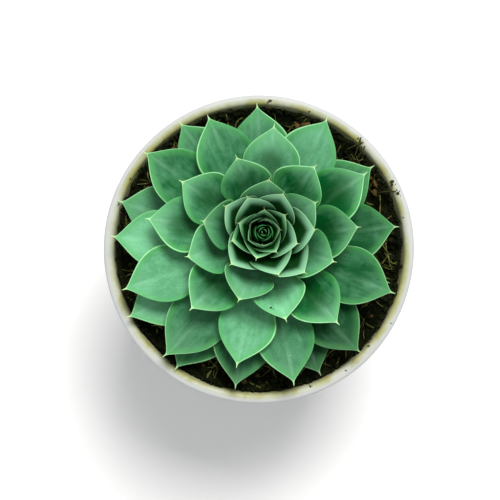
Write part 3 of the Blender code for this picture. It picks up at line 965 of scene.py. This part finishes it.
# ---- stem, bark chip and growing tip
stemSetup = {"dark": (0.040, 0.050, 0.020), "light": (0.220, 0.230, 0.110), "rows": 90, "sides": 72}
chipSetup = {
    "dark": (0.120, 0.045, 0.014), "light": (0.420, 0.190, 0.070), "rows": 22, "sides": 20,
    "turn": 60.0, "length": 7.4, "halfWidth": 1.9, "halfThickness": 0.75,
}


def buildStem(setup):
    points = nodePoints("stem")
    radius = max(np.hypot(points[:, 0] - stemCentre[0], points[:, 1] - stemCentre[1])) / mm
    low, high = stemLow[2] / mm, stemHigh[2] / mm
    rows, sides = setup["rows"], setup["sides"]
    body, rings = [], []
    heights = np.unique(np.round(points[:, 2] / mm, 3))
    for height in heights:
        level = points[np.abs(points[:, 2] / mm - height) < 0.01]
        rings.append(max(np.hypot(*(level[:, :2] - stemCentre[:2]).T)) / mm)
    for row in range(rows):
        share = row / (rows - 1)
        height = low + (high - low) * share
        girth = min(np.interp(height, heights, rings), radius)
        for side in range(sides):
            turn = 2.0 * math.pi * side / sides
            # old leaf scars wind round the stem in low lozenges
            scar = math.cos(5.0 * turn + height * 1.1) * math.cos(8.0 * turn - height * 1.7)
            dent = -0.35 + 0.3 * scar + 0.12 * noise.noise(Vector((turn * 3, height * 0.6, 1.0)))
            r = max(girth + dent, 0.15) if row not in (0, rows - 1) else max(girth - 0.5, 0.1)
            body.append((*onCircle(r, turn), height))
    bark = makeGrainMaterial("stemBark", setup["dark"], setup["light"], 350.0, 0.8, 0.0004)
    addPiece("stem_bark", np.array(body) * mm + stemCentre, sleeveFaces(rows, sides), bark, ("stem",))


def buildBarkChip(setup):
    low, high = (np.array(corner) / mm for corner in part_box("bark_chip"))
    middle = (low + high) / 2.0
    turned = Matrix.Rotation(math.radians(setup["turn"]), 3, "Z")
    rows, sides = setup["rows"], setup["sides"]
    points = []
    for row in range(rows):
        t = row / (rows - 1)
        swell = max(0.05, math.sin(math.pi * (0.04 + 0.92 * t)) ** 0.35)
        for side in range(sides):
            a = 2.0 * math.pi * side / sides
            ragged = 1.0 + 0.22 * noise.noise(Vector((t * 5, math.cos(a) * 1.5, math.sin(a) * 1.5)))
            x = (t - 0.5) * setup["length"] + 0.3 * math.sin(side * 2.3) * (t > 0.9 or t < 0.1)
            y = math.copysign(abs(math.cos(a)) ** 0.6, math.cos(a)) * setup["halfWidth"] * swell * ragged
            z = math.copysign(abs(math.sin(a)) ** 0.6, math.sin(a)) * setup["halfThickness"] * swell * ragged
            z += 0.12 * math.sin(y * 9.0 + 0.7 * t) + 0.25 * math.sin(t * 3.0)
            points.append(tuple(Vector(middle) + turned @ Vector((x, y, z))))
    chip = makeGrainMaterial("barkChip", setup["dark"], setup["light"], 450.0, 0.85, 0.0005)
    addPiece("bark_chip_split", np.array(points) * mm, sleeveFaces(rows, sides), chip, ("bark_chip",))


# each wrapped leaf: direction in degrees, widest radius, height above the foot and half the angle it spans
budScales = [
    (20.0, 4.3, 12.6, 58.0), (190.0, 4.1, 12.8, 60.0), (310.0, 3.7, 13.0, 62.0), (105.0, 3.5, 13.2, 62.0),
    (230.0, 3.0, 13.6, 64.0), (350.0, 2.6, 14.0, 66.0), (135.0, 2.1, 14.4, 70.0), (265.0, 1.7, 14.8, 74.0),
    (40.0, 1.2, 15.2, 80.0), (200.0, 0.9, 15.5, 84.0),
]
budShape = {"rows": 20, "around": 28, "thickness": 0.30, "close": 0.74}


def buildGrowingTip():
    # unopened leaves wrapped tight over the middle of the rosette
    low, high = (np.array(corner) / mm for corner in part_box("growing_tip"))
    middle = (low + high) / 2.0
    rows, around = budShape["rows"], budShape["around"]
    along = np.linspace(0.0, 1.0, rows)
    turns = np.linspace(0.0, 2.0 * np.pi, around, endpoint=False)
    parts, alongValues, edgeValues = [], [], []
    for azimuth, widest, top, halfAngle in budScales:
        narrowing = np.sqrt(1.0 - np.clip((along - 0.45) / 0.55, 0.0, 1.0) ** 2.2)
        opening = 0.6 + 0.4 * smoothStep(0.0, 0.5, along)
        spread = np.radians(halfAngle) * opening * np.maximum(narrowing, 0.03)
        inward = smoothStep(0.35, 1.0, along)
        radius = widest * (0.8 + 0.2 * smoothStep(0.0, 0.5, along) - (1.0 - budShape["close"]) * inward)
        height = low[2] + top * np.sin(0.5 * np.pi * along) ** 0.9
        angle = math.radians(azimuth) + spread[:, None] * np.cos(turns)[None, :]
        away = radius[:, None] + 0.5 * budShape["thickness"] * np.sin(turns)[None, :]
        x = middle[0] + away * np.cos(angle)
        y = middle[1] + away * np.sin(angle)
        z = np.broadcast_to(height[:, None], x.shape)
        points = [tuple(spot) for spot in np.stack([x, y, z], axis=-1).reshape(-1, 3)]
        parts.append((points, sleeveFaces(rows, around)))
        alongValues += list(np.repeat(along, around))
        edgeValues += list((np.abs(np.cos(turns))[None, :] ** 3 * np.ones((rows, 1))).reshape(-1))
    points, faces = joinParts(parts)
    material, tree, shader, where = startMaterial("budTipSkin", Roughness=0.4, Specular_IOR_Level=0.12)
    wax = placeGroup(tree, mottleGroup, Vector=where, Patch=300.0, Freckle=2000.0)
    nearTip = rampMask(tree, attributeValue(tree, "along"), 0.55, 1.0)
    # painted shade: the scales are painted dark towards their foot and budGreen near the tip
    colour = mixColour(tree, scaled(tree, nearTip, 0.85), leafLook["hollowShade"], leafLook["budGreen"])
    sideLine = scaled(tree, scaled(tree, attributeValue(tree, "sideEdge"), nearTip), 0.15)
    colour = mixColour(tree, sideLine, colour, leafLook["tipLight"])
    colour = mixColour(tree, scaled(tree, wax["Cloud"], 0.3), colour, leafLook["deep"])
    tree.links.new(colour, shader.inputs["Base Color"])
    addBump(tree, shader, wax["Height"], 0.2, 0.0002)
    values = {"along": alongValues, "sideEdge": edgeValues}
    addPiece("growing_tip_scales", points, faces, material, ("growing_tip",), values=values)


buildStem(stemSetup)
buildBarkChip(chipSetup)
buildGrowingTip()
print("stem, bark chip and growing tip built")

# ---- camera, light and floor
cameraSetup = {
    "distance": 0.448, "tiltFront": 5.0, "tiltLeft": 1.5, "lens": 84.0, "sensor": 36.0, "clipStart": 0.01,
    "aside": (-0.00367, -0.00097),
}
lightSetups = {
    "keyLight": {
        "size": 0.62, "power": 26.0, "azimuth": 72.0, "elevation": 64.0, "distance": 1.6,
        "colour": (1.0, 0.99, 0.965),
    },
    "fillLight": {
        "size": 1.2, "power": 2.0, "azimuth": 230.0, "elevation": 50.0, "distance": 1.3,
        "colour": (0.96, 0.98, 1.0),
    },
}
worldSetup = {"colour": (0.99, 0.99, 1.0, 1.0), "strength": 0.50}
floorSetup = {"reach": 3.0, "colour": (0.9, 0.9, 0.9, 1.0), "roughness": 0.9}
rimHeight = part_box("pot")[1][2]


def placeCamera(setup):
    # almost straight down onto the rim, tilted a little to the front and the left
    target = Vector((*setup["aside"], rimHeight))
    tiltLeft, tiltFront = math.radians(setup["tiltLeft"]), math.radians(setup["tiltFront"])
    back = Vector((-math.tan(tiltLeft), -math.tan(tiltFront), 1.0))
    data = bpy.data.cameras.new("camera")
    data.lens = setup["lens"]
    data.sensor_width = setup["sensor"]
    data.clip_start = setup["clipStart"]
    camera = bpy.data.objects.new("camera", data)
    scene.collection.objects.link(camera)
    zAxis = back.normalized()
    xAxis = Vector((0.0, 1.0, 0.0)).cross(zAxis).normalized()
    yAxis = zAxis.cross(xAxis)
    turned = Matrix((xAxis, yAxis, zAxis)).transposed().to_4x4()
    camera.matrix_world = Matrix.Translation(target + back * setup["distance"]) @ turned
    scene.camera = camera


def addArea(name, setup):
    data = bpy.data.lights.new(name, "AREA")
    data.size = setup["size"]
    data.energy = setup["power"]
    data.color = setup["colour"]
    light = bpy.data.objects.new(name, data)
    a, e = math.radians(setup["azimuth"]), math.radians(setup["elevation"])
    middle = Vector((0.0, 0.0, rimHeight * 0.8))
    towards = Vector((*onCircle(math.cos(e), a), math.sin(e)))
    light.location = middle + setup["distance"] * towards
    light.rotation_euler = (middle - light.location).to_track_quat("-Z", "Y").to_euler()
    scene.collection.objects.link(light)


def makeWorld(setup):
    world = bpy.data.worlds.new("studio")
    scene.world = world
    world.use_nodes = True
    world.node_tree.nodes["Background"].inputs[0].default_value = setup["colour"]
    world.node_tree.nodes["Background"].inputs[1].default_value = setup["strength"]


def makeFloor(setup):
    material, tree, shader, where = startMaterial(
        "floorPaint", Roughness=setup["roughness"], Base_Color=setup["colour"])
    mesh = bpy.data.meshes.new("floor")
    reach = setup["reach"]
    corners = [(-reach, -reach, 0), (reach, -reach, 0), (reach, reach, 0), (-reach, reach, 0)]
    mesh.from_pydata(corners, [], [(0, 1, 2, 3)])
    mesh.materials.append(material)
    floor = bpy.data.objects.new("floor", mesh)
    scene.collection.objects.link(floor)


placeCamera(cameraSetup)
for lightName, lightSetup in lightSetups.items():
    addArea(lightName, lightSetup)
makeWorld(worldSetup)
makeFloor(floorSetup)
print("camera, lights and floor placed")
